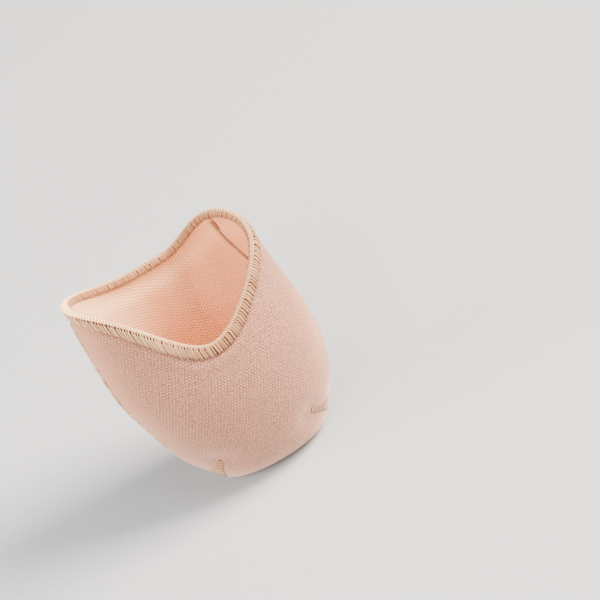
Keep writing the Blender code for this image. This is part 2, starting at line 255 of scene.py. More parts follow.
def panel_rings(at_front, columns, half_slot, toe_rings, side_rings):
    """Turns and levels of a panel's rings, as two arrays of rings by columns."""
    middle = 0.0 if at_front else math.pi
    even = np.linspace(-1.0, 1.0, columns + 1)
    place = even + COLUMN_CROWDING * np.sin(math.pi * even) / math.pi

    def turn_at(level):
        side = np.sign(place) if at_front else -np.sign(place)
        seam = seam_turn(level, side) if at_front else math.pi - seam_turn(level, side)
        return middle + place * (seam - slot_turn(level, half_slot, at_front))

    top = edge_level(turn_at)
    rings = [np.full_like(top, level) for level in POLE_LEVELS]
    rings += [np.full_like(top, level) for level in np.linspace(FLOOR_LEVEL, SIDE_LEVEL, toe_rings + 1)]
    rings += [SIDE_LEVEL + (top - SIDE_LEVEL) * k / side_rings for k in range(1, side_rings + 1)]
    return np.array([turn_at(levels) for levels in rings]), np.array(rings)


def run_length(points, axis):
    """Distance along rows or columns of a grid of points, from its first."""
    steps = np.linalg.norm(np.diff(points, axis=axis), axis=-1)
    pad = [(0, 0), (0, 0)]
    pad[axis] = (1, 0)
    return np.cumsum(np.pad(steps, pad), axis=axis)


def cloth_map(turns, levels, at_front):
    """Places on the flat cloth in millimetres, across from its middle line and up from the toe."""
    middle = 0.0 if at_front else math.pi
    steps = 25
    shares = np.linspace(0.0, 1.0, steps)[:, None, None]
    way = plain_point(middle + (turns - middle) * shares, np.broadcast_to(levels, (steps,) + levels.shape))
    across = np.linalg.norm(np.diff(way, axis=0), axis=-1).sum(axis=0) * np.sign(turns - middle)
    heights = np.linspace(POLE_LEVELS[0], TOP_LEVEL, 400)
    up = np.interp(levels, heights, run_length(plain_point(middle, heights)[None], 1)[0])
    return np.stack([across if at_front else -across, up], -1) * 1000


SHARP_ANGLE = math.radians(60)


def add_shell(name, outer, inner, pattern, marks):
    """A closed shell between two grids of points, filled at the toe from the seam's middle.
    pattern is its UV map, and marks gives it named values at its points, such as painted shade
    where stitches draw the cloth in or painted light at its sides."""
    rings, columns = outer.shape[:2]
    pole_outer, pole_inner, pole_uv = ((grid[0, 0] + grid[0, -1]) / 2 for grid in (outer, inner, pattern))
    count = rings * columns
    points = np.concatenate([outer.reshape(-1, 3), inner.reshape(-1, 3), [pole_outer, pole_inner]])
    grid = np.arange(count).reshape(rings, columns)
    skin = np.stack([grid[:-1, :-1], grid[:-1, 1:], grid[1:, 1:], grid[1:, :-1]], -1).reshape(-1, 4)
    faces = skin.tolist() + (skin[:, ::-1] + count).tolist()
    for k in range(columns - 1):
        faces.append((2 * count, grid[0, k + 1], grid[0, k]))
        faces.append((2 * count + 1, count + grid[0, k], count + grid[0, k + 1]))
    border = np.concatenate([[2 * count], grid[:-1, -1], grid[-1, ::-1], grid[:-1, 0][::-1]]).tolist()
    partner = [2 * count + 1] + [count + v for v in border[1:]]
    for k in range(len(border)):
        after = (k + 1) % len(border)
        faces.append((border[after], border[k], partner[k], partner[after]))
    mesh = bpy.data.meshes.new(name)
    mesh.from_pydata(points.tolist(), [], faces)
    uvs = np.concatenate([pattern.reshape(-1, 2)] * 2 + [pole_uv[None]] * 2)
    corner = np.empty(len(mesh.loops), int)
    mesh.loops.foreach_get("vertex_index", corner)
    mesh.uv_layers.new(name="pattern").data.foreach_set("uv", uvs[corner].ravel())
    for mark, values in marks.items():
        flat = np.concatenate([values.ravel(), values.ravel(), [0.0, 0.0]])
        mesh.attributes.new(mark, "FLOAT", "POINT").data.foreach_set("value", flat)
    mesh.shade_smooth()
    mesh.set_sharp_from_angle(angle=SHARP_ANGLE)
    piece = bpy.data.objects.new(name, mesh)
    bpy.context.scene.collection.objects.link(piece)
    return piece


def linear(text):
    """A colour in linear light from its sRGB hex value."""
    parts = [int(text[k : k + 2], 16) / 255 for k in (1, 3, 5)]
    return tuple(c / 12.92 if c <= 0.04045 else ((c + 0.055) / 1.055) ** 2.4 for c in parts) + (1.0,)


def add_node(tree, kind, inputs=None, **settings):
    """Adds a node with its settings, and sets or links its inputs."""
    node = tree.nodes.new(kind)
    for name, value in settings.items():
        setattr(node, name, value)
    for socket, value in (inputs or {}).items():
        if isinstance(value, bpy.types.NodeSocket):
            tree.links.new(value, node.inputs[socket])
        else:
            node.inputs[socket].default_value = value
    return node


# The sockets of a colour mix, where the ones for each kind of data have the same names
MIX_SHARE, MIX_FROM, MIX_TO, MIX_RESULT = 0, 6, 7, 2


def lumps(tree, waves):
    """Rounded lumps on the piece's UV map where waves cross, each given in cycles per mm."""
    place = add_node(tree, "ShaderNodeUVMap", uv_map="pattern").outputs["UV"]
    total = None
    for across, up in waves:
        way = (across * math.tau, up * math.tau, 0.0)
        along = add_node(tree, "ShaderNodeVectorMath", {0: place, 1: way}, operation="DOT_PRODUCT")
        wave = add_node(tree, "ShaderNodeMath", {0: along.outputs["Value"]}, operation="COSINE").outputs[0]
        total = wave if total is None else add_node(tree, "ShaderNodeMath", {0: total, 1: wave}).outputs[0]
    return total


CLOTH_SPECULAR = 0.25
BLOOM_ROUGHNESS = 0.38


def soft_material(name, roughness, sheen):
    """A matte material with a soft bloom, its node tree and its shader."""
    made = bpy.data.materials.new(name)
    made.use_nodes = True
    shader = made.node_tree.nodes["Principled BSDF"]
    shader.inputs["Roughness"].default_value = roughness
    shader.inputs["Specular IOR Level"].default_value = CLOTH_SPECULAR
    shader.inputs["Sheen Weight"].default_value = sheen
    shader.inputs["Sheen Roughness"].default_value = BLOOM_ROUGHNESS
    return made, made.node_tree, shader


# Interlock knit of fine nylon, brushed soft: matte, with a pale bloom where it turns away. Its
# loops stand in rows 1.2 mm apart, each row half a loop along from the next, and show clearly in
# some patches and less so in others. Painted light makes it paler along the side seams, most at
# the front right, and painted shade makes it brown under the edging, along the seams and in the darts.
KNIT_WAVES = ((0.83, 0.43), (0.83, -0.43), (0.0, 0.86))
FUZZ_SHARE = 9.0
knit, tree, shader = soft_material("interlock_knit", 0.9, 1.0)
shader.inputs["Sheen Tint"].default_value = linear("#FFDCC4")
loops = lumps(tree, KNIT_WAVES)
place = add_node(tree, "ShaderNodeTexCoord").outputs["Object"]
patches = add_node(tree, "ShaderNodeTexNoise", {"Vector": place, "Scale": 260.0, "Detail": 1.0})
clear = add_node(
    tree, "ShaderNodeMapRange",
    {"Value": patches.outputs["Fac"], "From Min": 0.35, "From Max": 0.65, "To Min": 0.25, "To Max": 1.0},
)
loops = add_node(tree, "ShaderNodeMath", {0: loops, 1: clear.outputs[0]}, operation="MULTIPLY").outputs[0]
fuzz = add_node(tree, "ShaderNodeTexNoise", {"Vector": place, "Scale": 2000.0, "Detail": 2.0}).outputs["Fac"]
loops = add_node(
    tree, "ShaderNodeMath", {0: fuzz, 1: FUZZ_SHARE, 2: loops}, operation="MULTIPLY_ADD"
).outputs[0]
loop_share = add_node(tree, "ShaderNodeMapRange", {"Value": loops, "From Min": 2.3, "From Max": 7.3})
loop_colour = add_node(
    tree, "ShaderNodeMix",
    {MIX_SHARE: loop_share.outputs[0], MIX_FROM: linear("#6C4E3F"), MIX_TO: linear("#D38F73")},
    data_type="RGBA",
)
# Painted light along the side seams
stretch = add_node(tree, "ShaderNodeAttribute", attribute_name="stretch")
side_lit_colour = add_node(
    tree, "ShaderNodeMix",
    {MIX_SHARE: stretch.outputs["Fac"], MIX_FROM: loop_colour.outputs[MIX_RESULT], MIX_TO: linear("#FFB283")},
    data_type="RGBA",
)
# Painted shade: brown under the edging, along the seams and in the darts
painted_tuck_shade = add_node(tree, "ShaderNodeAttribute", attribute_name="painted_tuck_shade")
tuck_shaded_colour = add_node(
    tree, "ShaderNodeMix",
    {MIX_SHARE: painted_tuck_shade.outputs["Fac"], MIX_FROM: side_lit_colour.outputs[MIX_RESULT], MIX_TO: linear("#6E3A22")},
    data_type="RGBA",
)
tree.links.new(tuck_shaded_colour.outputs[MIX_RESULT], shader.inputs["Base Color"])
relief = add_node(tree, "ShaderNodeBump", {"Strength": 0.3, "Distance": 0.0001, "Height": loops})
tree.links.new(relief.outputs["Normal"], shader.inputs["Normal"])

# Grooves and swells in the cloth, each at a place beside a line that it follows
Swell = namedtuple("Swell", "place rise reach")
NEEDLE_LINE = RIM_BAND + 0.0002
STITCH_PITCH = 0.00105
KNIT_SLOT = 0.0016
KNIT_TOE_RINGS = 30
KNIT_SIDE_RINGS = 74
KNIT_AT_SEAM = (Swell(0.0, -0.0010, 0.0011), Swell(0.0042, 0.0003, 0.0022))
KNIT_AT_NEEDLE = Swell(0.0, -0.00045, 0.0007)
KNIT_BELOW_NEEDLE = Swell(0.0035, 0.0003, 0.0022)
KNIT_BESIDE_DART = Swell(0.0014, 0.0003, 0.0011)
DART_GROOVE = 0.0011
DART_EDGE = 1.25
PUCKER_SHARE = 0.25
# Painted shade in the knit's colour: along the seams, in the darts and under the edging
SEAM_SHADE = Swell(0.0, 0.5, 0.0009)
DART_SHADE = 0.3
NEEDLE_SHADE_FADE = 0.0005
# Painted light in the knit's colour along the side seams, most at the front right
SIDE_LIGHT_AT_RIGHT = 0.65
SIDE_LIGHT_ELSEWHERE = 0.4
SIDE_LIGHT_REACH = 0.013
SIDE_LIGHT_START = 0.022
SIDE_LIGHT_FADE = 0.03
BACKING_SHARE = 0.8
SETTLE_LEVELS = 0.6


def swell_at(distance, *swells):
    """How far grooves and swells raise the cloth at a distance from their line."""
    return sum(swell.rise * hump(distance - swell.place, swell.reach) for swell in swells)


def dart_half_width(share):
    return (DART_ROOT_WIDTH + (DART_TIP_WIDTH - DART_ROOT_WIDTH) * share) / 2


def knit_piece(name, at_front, columns, node):
    """A knit panel and its area. Nothing rises round the foot of the toe, where it would float."""
    turns, levels = panel_rings(at_front, columns, KNIT_SLOT, KNIT_TOE_RINGS, KNIT_SIDE_RINGS)
    plain = plain_point(turns, levels)
    across = run_length(plain, 1)
    from_seam = np.minimum(across, across[:, -1:] - across)
    below = (levels[-1] - levels) / edge_frame(turns[-1])[-1]
    along_edge = run_length(plain[-1:], 1)[0]

    pucker = 1 - PUCKER_SHARE + PUCKER_SHARE * np.cos(math.tau * along_edge / (2 * STITCH_PITCH))
    rise = swell_at(from_seam, *KNIT_AT_SEAM) + swell_at(below - NEEDLE_LINE, KNIT_AT_NEEDLE) * pucker
    rise = rise + swell_at(below - NEEDLE_LINE, KNIT_BELOW_NEEDLE)
    # Painted shade in the knit's colour: brown under the edging, along the seams and in the darts
    tuck_shade = smooth_step((NEEDLE_LINE + NEEDLE_SHADE_FADE - below) / NEEDLE_SHADE_FADE) + swell_at(from_seam, SEAM_SHADE)
    for dart in DARTS:
        share, away = beside_dart(dart, plain)
        half = dart_half_width(share)
        inside = smooth_step(DART_EDGE - away / half)
        rise = rise - DART_GROOVE * inside + swell_at(away - half, KNIT_BESIDE_DART)
        tuck_shade = np.maximum(tuck_shade, DART_SHADE * inside)
    settle = np.where(levels < SIDE_LEVEL, smooth_step((levels - FLOOR_LEVEL) / SETTLE_LEVELS), 1.0)
    rise = np.minimum(rise, 0.0) + np.maximum(rise, 0.0) * settle
    outer = pad_point(turns, levels, -rise)
    inner = pad_point(turns, levels, KNIT_WALL * BACKING_SHARE - rise)
    outer[..., 2] = np.maximum(outer[..., 2], 0.0)

    pattern = cloth_map(turns, levels, at_front)
    # Painted light in the knit's colour: paler along the side seams, most at the front right
    most = np.where((turns > 0) & at_front, SIDE_LIGHT_AT_RIGHT, SIDE_LIGHT_ELSEWHERE)
    stretch = most * hump(from_seam, SIDE_LIGHT_REACH)
    stretch = stretch * smooth_step((plain[..., 2] - SIDE_LIGHT_START) / SIDE_LIGHT_FADE)
    piece = add_shell(name, outer, inner, pattern, {"painted_tuck_shade": np.clip(tuck_shade, 0.0, 1.0), "stretch": stretch})
    piece.data.materials.append(knit)
    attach(piece, "root")
    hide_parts(node)
    area = float((np.diff(across, axis=1)[:-1] * np.diff(run_length(plain, 0), axis=0)[:, :-1]).sum())
    return piece, area


front_knit, front_area = knit_piece("front_knit", at_front=True, columns=132, node="front_panel")
back_knit, back_area = knit_piece("back_knit", at_front=False, columns=108, node="back_panel")


# The gel linings. Inside each knit panel lies a soft gel sheet. The back one is a knit mesh
# with a dot of gel in every cell, and the front one is plain gel. Both are thin under the edging
# and about 1.8 mm thick below it.
GEL_WALL = 0.0018
GEL_EDGE_WALL = 0.0006
GEL_TAPER_START = RIM_BAND + 0.0006
GEL_TAPER = 0.0070
GEL_SLOT = 0.0002
GEL_TOE_RINGS = 26
GEL_SIDE_RINGS = 60
GEL_AT_SEAM = (Swell(0.0020, 0.0006, 0.0012), Swell(0.0, -0.0004, 0.0006))
RIDGE_LEVEL = 1.5

# The soft fold in the back lining, with its place and reaches in millimetres of the flat cloth
FOLD_PLACE = 10.5
FOLD_FORM = (Swell(-9.0, 0.0008, 6.0), Swell(9.0, 0.0004, 6.0), Swell(0.0, -0.0007, 4.5))
FOLD_START = 0.004
FOLD_FADE = 0.010

# The dots fade out beside the seams, over a longer way at the left
DOT_FADE = 0.0015
LEFT_DOT_START = 0.004
LEFT_DOT_FADE = 0.04

# Painted shade darkens the lining at the right ear, between two turns and above a height, each
# with what it fades over
EAR_SHADE_FROM_TURN, EAR_SHADE_FROM_FADE = 70, 20
EAR_SHADE_TO_TURN, EAR_SHADE_TO_FADE = 160, 35
EAR_SHADE_HEIGHT, EAR_SHADE_HEIGHT_FADE = 0.050, 0.03

# Gel in a fine mesh: a warmer peach than the knit and a little less matte, with paler dots that
# stand out slightly and lie on a skewed grid about 1.1 mm apart.
GEL_WAVES = ((1.02, 0.0), (0.62, -0.70), (0.40, 0.70))
DOT_MIDDLE = 0.45
gel, tree, shader = soft_material("gel_mesh", 0.6, 0.2)
dots = lumps(tree, GEL_WAVES)
dotted = add_node(tree, "ShaderNodeAttribute", attribute_name="dotted")
# Painted shade at the right ear lowers the lining's tone towards the darker peach
painted_ear_shade = add_node(tree, "ShaderNodeAttribute", attribute_name="painted_ear_shade")
dot_share = add_node(tree, "ShaderNodeMapRange", {"Value": dots, "From Min": -0.9, "From Max": 2.0})
dot_height = add_node(
    tree, "ShaderNodeMath", {0: dot_share.outputs[0], 1: DOT_MIDDLE}, operation="SUBTRACT"
)
plain = add_node(
    tree, "ShaderNodeMapRange", {"Value": painted_ear_shade.outputs["Fac"], "To Min": DOT_MIDDLE, "To Max": 0.0}
)
shown = add_node(
    tree, "ShaderNodeMath", {0: dot_height.outputs[0], 1: dotted.outputs["Fac"], 2: plain.outputs[0]},
    operation="MULTIPLY_ADD",
)
gel_colour = add_node(
    tree, "ShaderNodeMix",
    {MIX_SHARE: shown.outputs[0], MIX_FROM: linear("#EAA372"), MIX_TO: linear("#FFE0B8")},
    data_type="RGBA",
)
tree.links.new(gel_colour.outputs[MIX_RESULT], shader.inputs["Base Color"])
relief = add_node(tree, "ShaderNodeBump", {"Strength": 0.6, "Distance": 0.0002, "Height": shown.outputs[0]})
tree.links.new(relief.outputs["Normal"], shader.inputs["Normal"])


def gel_wall(below):
    """The gel's thickness at a distance below the mouth's edge."""
    share = smooth_step((below - GEL_TAPER_START) / GEL_TAPER)
    return GEL_EDGE_WALL + (GEL_WALL - GEL_EDGE_WALL) * share


def gel_piece(name, at_front, columns, node):
    turns, levels = panel_rings(at_front, columns, GEL_SLOT, GEL_TOE_RINGS, GEL_SIDE_RINGS)
    plain = plain_point(turns, levels)
    across = run_length(plain, 1)
    from_seam = np.minimum(across, across[:, -1:] - across)
    below = (levels[-1] - levels) / edge_frame(turns[-1])[-1]
    pattern = cloth_map(turns, levels, at_front)
    ridge = swell_at(from_seam, *GEL_AT_SEAM)
    dotted = np.zeros(levels.shape)
    if not at_front:
        fold = swell_at(pattern[..., 0] - FOLD_PLACE, *FOLD_FORM)
        ridge = ridge + fold * smooth_step((below - FOLD_START) / FOLD_FADE)
        from_left = across[:, -1:] - across
        dotted = smooth_step(from_seam / DOT_FADE)
        dotted = dotted * smooth_step((from_left - LEFT_DOT_START) / LEFT_DOT_FADE)
    outer = pad_point(turns, levels, KNIT_WALL + LAYER_GAP)
    thickness = gel_wall(below) + ridge * smooth_step(levels - RIDGE_LEVEL)
    inner = pad_point(turns, levels, KNIT_WALL + LAYER_GAP + thickness)
    # Painted shade at the right ear
    painted_ear_shade = smooth_step((turns - math.radians(EAR_SHADE_FROM_TURN)) / math.radians(EAR_SHADE_FROM_FADE))
    painted_ear_shade = painted_ear_shade * smooth_step((math.radians(EAR_SHADE_TO_TURN) - turns) / math.radians(EAR_SHADE_TO_FADE))
    painted_ear_shade = painted_ear_shade * smooth_step((plain[..., 2] - EAR_SHADE_HEIGHT) / EAR_SHADE_HEIGHT_FADE)
    piece = add_shell(name, outer, inner, pattern, {"dotted": dotted, "painted_ear_shade": painted_ear_shade})
    piece.data.materials.append(gel)
    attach(piece, "root")
    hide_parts(node)


gel_piece("front_gel", at_front=True, columns=110, node="front_lining")
gel_piece("back_gel", at_front=False, columns=90, node="back_lining")


# The mouth's edging. A bulky two-thread overlock wraps the raw edge: side by side loops run from
# a needle line on the outside, over the edge and down the inside, and a chain of interlocked
# loops lies along the crest.
RIM_OUT = 0.0005
RIM_CREST = 0.0009
INNER_LEG = 0.0010
WRAPPED_WALL = KNIT_WALL + LAYER_GAP + GEL_EDGE_WALL
RIM_INSIDE = WRAPPED_WALL + RIM_OUT * 0.8


def add_threads(name, paths, sides, widths, heights, shades, finish, flank_shade=0.0, closed=False):
    """Tubes of thread along paths. A path is a row of points, sides the way across it at each
    point, widths and heights its half sizes across and out, and shades how pale it is. Its flanks
    are darker by flank_shade, a painted shade where neighbouring threads meet."""
    sides_of_tube = 6
    paths = np.asarray(paths, float)
    count, steps = paths.shape[:2]
    if closed:
        along = np.roll(paths, -1, axis=1) - np.roll(paths, 1, axis=1)
    else:
        along = np.gradient(paths, axis=1)
    along /= np.linalg.norm(along, axis=-1, keepdims=True)
    sides = np.broadcast_to(sides, paths.shape)
    sides = sides - along * (sides * along).sum(axis=-1, keepdims=True)
    sides = sides / np.linalg.norm(sides, axis=-1, keepdims=True)
    outs = np.cross(along, sides)
    widths = np.broadcast_to(widths, (count, steps))[..., None, None]
    heights = np.broadcast_to(heights, (count, steps))[..., None, None]
    angle = np.arange(sides_of_tube) / sides_of_tube * math.tau
    ring = sides[:, :, None] * np.cos(angle)[:, None] * widths
    ring = ring + outs[:, :, None] * np.sin(angle)[:, None] * heights
    points = (paths[:, :, None] + ring).reshape(-1, 3)
    grid = np.arange(count * steps * sides_of_tube).reshape(count, steps, sides_of_tube)
    last = grid if closed else grid[:, :-1]
    after = np.roll(grid, -1, axis=1) if closed else grid[:, 1:]
    quads = np.stack([last, np.roll(last, -1, axis=2), np.roll(after, -1, axis=2), after], -1).reshape(-1, 4)
    faces = quads.tolist()
    if not closed:
        faces += grid[:, 0, ::-1].tolist() + grid[:, -1].tolist()
    mesh = bpy.data.meshes.new(name)
    mesh.from_pydata(points.tolist(), [], faces)
    shades = np.asarray(shades, float)
    shades = np.broadcast_to(shades.reshape(shades.shape + (1,) * (2 - shades.ndim)), (count, steps))
    values = np.clip(shades[..., None] - flank_shade * np.cos(angle) ** 2, 0.0, 1.0).ravel()
    mesh.attributes.new("shade", "FLOAT", "POINT").data.foreach_set("value", values)
    mesh.shade_smooth()
    mesh.materials.append(finish)
    piece = bpy.data.objects.new(name, mesh)
    bpy.context.scene.collection.objects.link(piece)
    return piece


# Textured polyester overlock thread, bulky and unwaxed: matte, a light peach that varies a
# little from stitch to stitch, with its filaments about 0.2 mm apart. Its shade also carries
# painted light and painted shade, given where each thread is made.
thread, tree, shader = soft_material("overlock_thread", 0.8, 0.3)
shade = add_node(tree, "ShaderNodeAttribute", attribute_name="shade")
place = add_node(tree, "ShaderNodeTexCoord").outputs["Object"]
filaments = add_node(tree, "ShaderNodeTexNoise", {"Vector": place, "Scale": 5000.0, "Detail": 2.0})
thread_colour = add_node(
    tree, "ShaderNodeMix",
    {MIX_SHARE: shade.outputs["Fac"], MIX_FROM: linear("#8A5433"), MIX_TO: linear("#FFD39E")},
    data_type="RGBA",
)
tree.links.new(thread_colour.outputs[MIX_RESULT], shader.inputs["Base Color"])
relief = add_node(
    tree, "ShaderNodeBump", {"Strength": 0.4, "Distance": 0.00008, "Height": filaments.outputs["Fac"]}
)
tree.links.new(relief.outputs["Normal"], shader.inputs["Normal"])

# What is uneven about the threads is drawn from this, in the order of the script
chance = np.random.default_rng(7)

# The mouth's edge, as the distance along it at each turn
even_turns = np.linspace(0.0, math.tau, 2401)
edge_points = edge_frame(even_turns)[1]
edge_run = run_length(edge_points[None], 1)[0]
EDGE_LENGTH = edge_run[-1]


def turn_along_edge(distance):
    return np.interp(distance % EDGE_LENGTH, edge_run, even_turns)


def rim_point(turn, down, out):
    """A point beside the mouth's edge: down the wall where down is positive, and above it where
    negative, at a distance out from the pouch's skin."""
    level, edge, up, normal, fall = edge_frame(turn)
    beside = pad_point(turn, level - np.maximum(down, 0.0) * fall, -np.asarray(out))
    above = edge + up * -np.asarray(down)[..., None] + normal * np.asarray(out)[..., None]
    return np.where((np.asarray(down) > 0)[..., None], beside, above)


def near_left(turns, middle, reach):
    """1 at a turn to the left of the front and 0 far from it, with middle and reach in degrees."""
    return hump(math.tau - turns - math.radians(middle), math.radians(reach))


# The course of one loop, from the needle line up over the crest and down the inside. down and
# out say where it runs, and size how thick it is. pale is how pale it is, low at its ends and under
# the chain as painted shade, and uneven how much that varies from loop to loop. At the left ear the
# loops are slimmed, so thinner, and lit, painted light that makes them paler, more so on every other loop.
LoopStep = namedtuple("LoopStep", "down out size pale uneven slimmed lit")
LOOP = (
    LoopStep(NEEDLE_LINE + 0.0002, -0.0003, 0.5, 0.04, 0.09, 1.0, 0.2),
    LoopStep(NEEDLE_LINE - 0.0003, 0.0003, 0.8, 0.15, 0.09, 1.0, 0.5),
    LoopStep(NEEDLE_LINE * 0.7, RIM_OUT * 0.85, 1.0, 0.26, 0.09, 1.0, 0.7),
    LoopStep(NEEDLE_LINE * 0.35, RIM_OUT, 1.0, 0.29, 0.09, 1.0, 0.7),
    LoopStep(0.0, RIM_OUT * 0.9, 1.0, 0.29, 0.09, 1.0, 0.6),
    LoopStep(-RIM_CREST * 0.7, RIM_OUT * 0.25, 1.0, 0.26, 0.09, 1.0, 0.4),
    LoopStep(-RIM_CREST * 0.95, -WRAPPED_WALL / 2, 1.1, 0.20, 0.05, 0.6, 0.2),
    LoopStep(-RIM_CREST * 0.7, -WRAPPED_WALL - RIM_OUT * 0.25, 1.2, 0.17, 0.05, 0.2, 0.1),
    LoopStep(0.0, -RIM_INSIDE, 1.3, 0.19, 0.05, 0.0, 0.1),
    LoopStep(INNER_LEG * 0.4, -RIM_INSIDE, 1.3, 0.19, 0.05, 0.0, 0.1),
    LoopStep(INNER_LEG * 0.8, -RIM_INSIDE + RIM_OUT * 0.1, 1.2, 0.17, 0.05, 0.0, 0.1),
    LoopStep(INNER_LEG, -WRAPPED_WALL + 0.0001, 0.8, 0.08, 0.05, 0.0, 0.1),
)
LOOP_HALF_WIDTH = 0.00047
LOOP_HALF_HEIGHT = 0.0003
LOOP_SLIMMING = 0.00032
LOOP_LEAN = 0.0003
LOOP_LEAN_AT_EAR = 0.0016
# Painted shade on the loops' flanks
LOOP_FLANK_SHADE = 0.22
EAR_MIDDLE, EAR_REACH = 66, 32
DIP_REACH = 35
DIP_DULLING = 0.25
ALTERNATE_LIT = 0.35

stitches = 2 * int(round(EDGE_LENGTH / STITCH_PITCH / 2))
places = (np.arange(stitches) + chance.uniform(-0.2, 0.2, stitches)) * EDGE_LENGTH / stitches
loop_turns = turn_along_edge(places)
at_left_ear = near_left(loop_turns, EAR_MIDDLE, EAR_REACH)
lean = LOOP_LEAN + LOOP_LEAN_AT_EAR * at_left_ear + chance.uniform(-0.0002, 0.0002, stitches)
paths = []
for step, course in enumerate(LOOP):
    slide = lean * (0.5 - step / (len(LOOP) - 1)) * 2
    longer = 1.0 + chance.uniform(-0.06, 0.06, stitches) * (step in (0, 1))
    turns = turn_along_edge(places + slide)
    paths.append(rim_point(turns, np.full(stitches, course.down) * longer, np.full(stitches, course.out)))
paths = np.stack(paths, axis=1)
nudge = 2e-4
run_way = rim_point(turn_along_edge(places + nudge), 0.0 * places, 0.0 * places)
run_way = run_way - rim_point(turn_along_edge(places - nudge), 0.0 * places, 0.0 * places)
_, _, size, pale, uneven, slimmed, lit = np.array(LOOP).T
half_width = LOOP_HALF_WIDTH - LOOP_SLIMMING * at_left_ear[:, None] * slimmed
half_width = half_width * chance.uniform(0.85, 1.12, stitches)[:, None]
at_dip = hump((loop_turns + math.pi) % math.tau - math.pi, math.radians(DIP_REACH))
loop_shades = pale * (1.0 - DIP_DULLING * at_dip[:, None])
alternate = 1.0 + ALTERNATE_LIT * (-1.0) ** np.arange(stitches)[:, None]
# Painted light at the left ear, stronger on every other loop
loop_shades = loop_shades + lit * at_left_ear[:, None] * alternate
loop_shades = loop_shades + uneven * chance.uniform(-1.0, 1.0, stitches)[:, None]
rim_loops = add_threads(
    "rim_loops", paths, run_way[:, None], half_width * size, LOOP_HALF_HEIGHT * size,
    loop_shades, thread, flank_shade=LOOP_FLANK_SHADE,
)
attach(rim_loops, "root")
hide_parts("rim_overlock")

# The chain of interlocked loops on the crest, two strands that cross once a stitch. It lies
# further out at the back and is puffed at the left ear, where painted light makes it pale. Painted
# shade darkens each strand where it dips under the other.
POINTS_IN_STITCH = 5
CHAIN_ABOVE = 0.0001
CHAIN_OUT = 0.0002
CHAIN_RISE = 0.00028
CHAIN_SWING = 0.0006
CHAIN_HALF_WIDTH = 0.00023
CHAIN_HALF_HEIGHT = 0.00025
CHAIN_PUFF, PUFF_MIDDLE, PUFF_REACH = 0.9, 90, 28
CHAIN_PALE = 0.45
CHAIN_LIT, LIT_MIDDLE, LIT_REACH = 0.5, 80, 50
CHAIN_SHADING = 0.25
chain_places = np.linspace(0.0, EDGE_LENGTH, stitches * POINTS_IN_STITCH, endpoint=False)
chain_turns = turn_along_edge(chain_places)
chain_way = edge_frame(chain_turns)[3]
puff = 1.0 + CHAIN_PUFF * near_left(chain_turns, PUFF_MIDDLE, PUFF_REACH)
# Painted light at the left ear
chain_pale = CHAIN_PALE + CHAIN_LIT * near_left(chain_turns, LIT_MIDDLE, LIT_REACH)
for strand, phase in (("rim_chain_a", 0.0), ("rim_chain_b", math.pi)):
    swing = math.tau * chain_places / (EDGE_LENGTH / stitches * 2) + phase
    down = -RIM_CREST - CHAIN_ABOVE - CHAIN_RISE * np.cos(swing)
    out = -WRAPPED_WALL / 2 + CHAIN_OUT * (2.0 - np.cos(chain_turns)) + CHAIN_SWING * puff * np.sin(swing)
    path = rim_point(chain_turns, down, out)
    # Painted shade where each strand dips under the other
    chain_shades = np.clip(chain_pale + CHAIN_SHADING * np.cos(swing), 0.0, 1.0)
    chain = add_threads(
        strand, path[None], chain_way[None], CHAIN_HALF_WIDTH * puff, CHAIN_HALF_HEIGHT,
        chain_shades[None], thread, closed=True,
    )
    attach(chain, "root")


# The toe seam. The two panels are joined edge to edge by a flat overlock, whose threads cross
# the join side by side, from the mouth down one side, over the toe and up the other.
SEAM_WIDTH = 0.0042
SEAM_PITCH = 0.0012
SEAM_HALF_THREAD = 0.00052
SEAM_HALF_HEIGHT = 0.00034
SEAM_LEAN = 0.0016

# The course of one of its threads: shares of half the seam's width, and heights out of the knit
SEAM_COURSE = (
    (-1.08, -0.0004), (-0.95, 0.0002), (-0.5, 0.0005), (0.0, 0.0006),
    (0.5, 0.0005), (0.95, 0.0002), (1.08, -0.0004),
)

# Places along the seam run from -2 at the left of the mouth to 2 at the right, with the flat of
# the toe from -1 to 1. The threads are pressed flat on the toe and sink under the edging.
TOE_END = 1.0
LIFT_FADE = 0.12
SEAM_END = 1.985
SEAM_LIMIT = 1.99
SINK_START = 1.955
SINK_FADE = 0.015
SINK_DEPTH = 0.0007
TOE_SINK = SEAM_HALF_HEIGHT * 1.1


def seam_point(place, offset, out):
    """A point of the seam, at a distance towards the back and out of the knit."""
    place, offset, out = np.broadcast_arrays(*(np.asarray(v, float) for v in (place, offset, out)))
    side = np.where(place < 0, -1.0, 1.0)

    def turn_at(level):
        beside = slot_turn(level, np.abs(offset), offset < 0)
        return side * (seam_turn(level, side) + np.sign(offset) * beside)

    top = edge_level(turn_at)
    level = FLOOR_LEVEL + (top - FLOOR_LEVEL) * np.clip(np.abs(place) - TOE_END, 0.0, 1.0)
    beside = pad_point(turn_at(level), level, -out)
    toe = SECTIONS[FLOOR_LEVEL]
    x = PAD_WIDTH / 2 * (toe.shift + place * toe.width)
    flat = np.stack([x, offset, -out], -1) - middle_of_box
    return np.where((np.abs(place) > TOE_END)[..., None], beside, flat)


